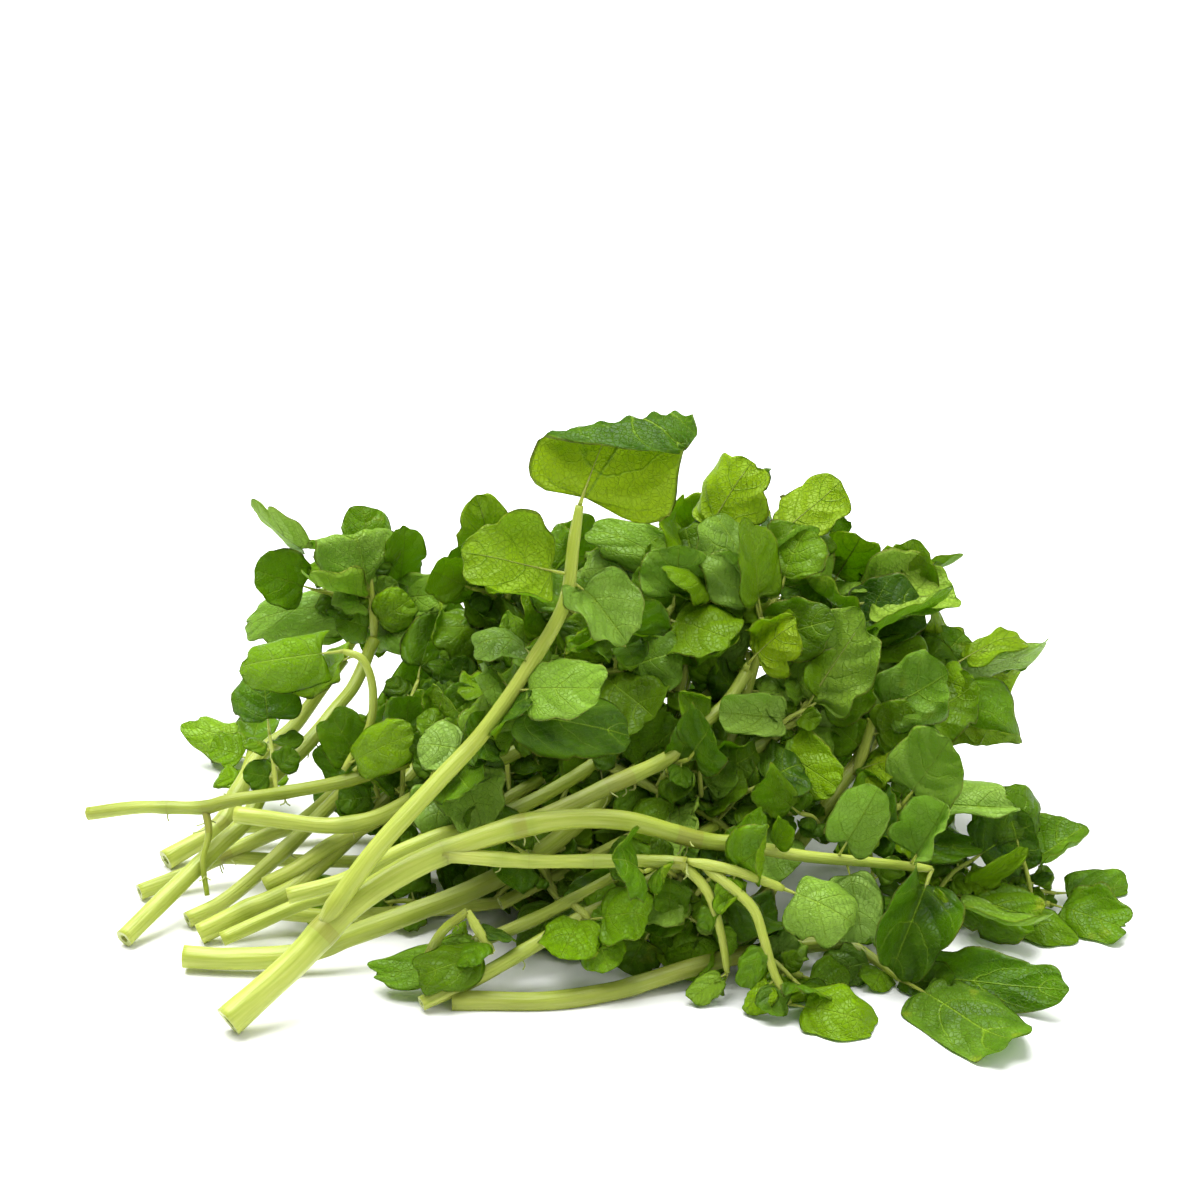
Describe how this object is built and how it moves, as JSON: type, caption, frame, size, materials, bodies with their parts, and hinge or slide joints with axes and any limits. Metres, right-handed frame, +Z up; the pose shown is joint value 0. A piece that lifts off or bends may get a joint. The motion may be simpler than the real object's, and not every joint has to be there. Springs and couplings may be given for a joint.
{
  "type": "watercress bunch",
  "caption": "Loose bunch of picked watercress lying on its side, cut stems to the left, round-leaved tops piled to the right.",
  "frame": {"origin": "middle of the bunch's footprint, on the surface it lies on", "axes": "+X from the cut stem ends to the leafy tops, +Y away from the viewer, +Z up"},
  "size_m": [0.2135, 0.1343, 0.104],
  "materials": {
    "stem": "smooth, juicy, pale yellow-green, slightly waxy",
    "leaf": "soft satin leaf, blue-green above with pale sheen, yellow-green and veined below"
  },
  "bodies": {
    "root": {"stem_1": "stem", "stem_2": "stem", "stem_3": "stem", "stem_4": "stem", "stem_5": "stem", "stem_6": "stem", "stem_7": "stem", "stem_8": "stem", "stem_9": "stem", "stem_10": "stem", "stem_11": "stem", "stem_12": "stem", "stem_13": "stem", "stem_14": "stem", "stem_15": "stem", "stem_16": "stem", "stem_17": "stem", "stem_18": "stem", "stem_19": "stem", "stem_20": "stem", "leaf_1_1": "leaf", "leaf_1_2": "leaf", "leaf_1_3": "leaf", "leaf_1_4": "leaf", "leaf_1_5": "leaf", "leaf_1_6": "leaf", "leaf_2_1": "leaf", "leaf_2_2": "leaf", "leaf_2_3": "leaf", "leaf_2_4": "leaf", "leaf_3_1": "leaf", "leaf_3_2": "leaf", "leaf_4_1": "leaf", "leaf_4_2": "leaf", "leaf_4_3": "leaf", "leaf_4_4": "leaf", "leaf_5_1": "leaf", "leaf_5_2": "leaf", "leaf_5_3": "leaf", "leaf_5_4": "leaf", "leaf_6_1": "leaf", "leaf_6_2": "leaf", "leaf_7_1": "leaf", "leaf_8_1": "leaf", "leaf_9_1": "leaf", "leaf_9_2": "leaf", "leaf_10_1": "leaf", "leaf_11_1": "leaf", "leaf_12_1": "leaf", "leaf_13_1": "leaf", "leaf_14_1": "leaf", "leaf_15_1": "leaf", "leaf_16_1": "leaf", "leaf_17_1": "leaf", "leaf_18_1": "leaf", "leaf_18_2": "leaf", "leaf_19_1": "leaf", "leaf_19_2": "leaf", "leaf_20_1": "leaf", "leaf_20_2": "leaf"}
  },
  "joints": []
}
